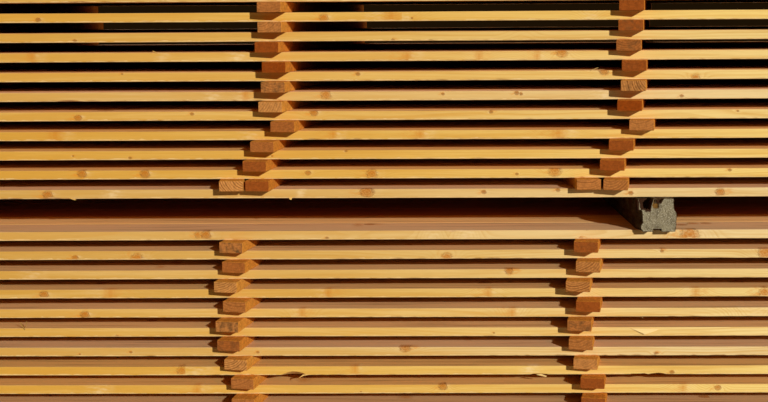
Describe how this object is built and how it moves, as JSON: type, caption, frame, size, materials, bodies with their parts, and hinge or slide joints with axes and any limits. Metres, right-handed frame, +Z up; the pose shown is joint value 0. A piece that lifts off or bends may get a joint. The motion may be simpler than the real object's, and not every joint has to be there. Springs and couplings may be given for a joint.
{
  "type": "stack of lumber",
  "caption": "Stickered packs of sawn softwood boards, one on the other, with air gaps between the layers and grooved timber bearers for a fork lift.",
  "frame": {"origin": "on the ground under the middle of the stack", "axes": "+X along the boards, to the right as the picture sees them; +Y from the front face into the stack; +Z up"},
  "size_m": [3.9878, 1.1366, 2.009],
  "materials": {
    "boards": "fresh sawn softwood, dry",
    "stickers": "sawn softwood, darkened by use",
    "bearers": "weathered grey timber"
  },
  "bodies": {
    "root": {"ground_bearer_left": "bearers", "ground_bearer_right": "bearers", "lower_boards_01": "boards", "lower_boards_02": "boards", "lower_boards_03": "boards", "lower_boards_04": "boards", "lower_boards_05": "boards", "lower_boards_06": "boards", "lower_boards_07": "boards", "lower_boards_08": "boards", "lower_boards_09": "boards", "lower_boards_10": "boards", "lower_boards_11": "boards", "lower_boards_12": "boards", "lower_boards_13": "boards", "lower_boards_14": "boards", "lower_boards_15": "boards", "lower_boards_16": "boards", "lower_boards_17": "boards", "lower_boards_18": "boards", "lower_boards_19": "boards", "lower_boards_20": "boards", "lower_stickers_1": "stickers", "lower_stickers_2": "stickers", "lower_stickers_3": "stickers", "lower_stickers_4": "stickers", "lower_stickers_5": "stickers", "middle_bearer_left": "bearers", "middle_bearer_right": "bearers", "upper_boards_01": "boards", "upper_boards_02": "boards", "upper_boards_03": "boards", "upper_boards_04": "boards", "upper_boards_05": "boards", "upper_boards_06": "boards", "upper_boards_07": "boards", "upper_boards_08": "boards", "upper_boards_09": "boards", "upper_boards_10": "boards", "upper_boards_11": "boards", "upper_boards_12": "boards", "upper_boards_13": "boards", "upper_boards_14": "boards", "upper_boards_15": "boards", "upper_boards_16": "boards", "upper_boards_17": "boards", "upper_boards_18": "boards", "upper_boards_19": "boards", "upper_boards_20": "boards", "upper_stickers_1": "stickers", "upper_stickers_2": "stickers", "upper_stickers_3": "stickers", "upper_stickers_4": "stickers", "upper_stickers_5": "stickers"}
  },
  "joints": []
}
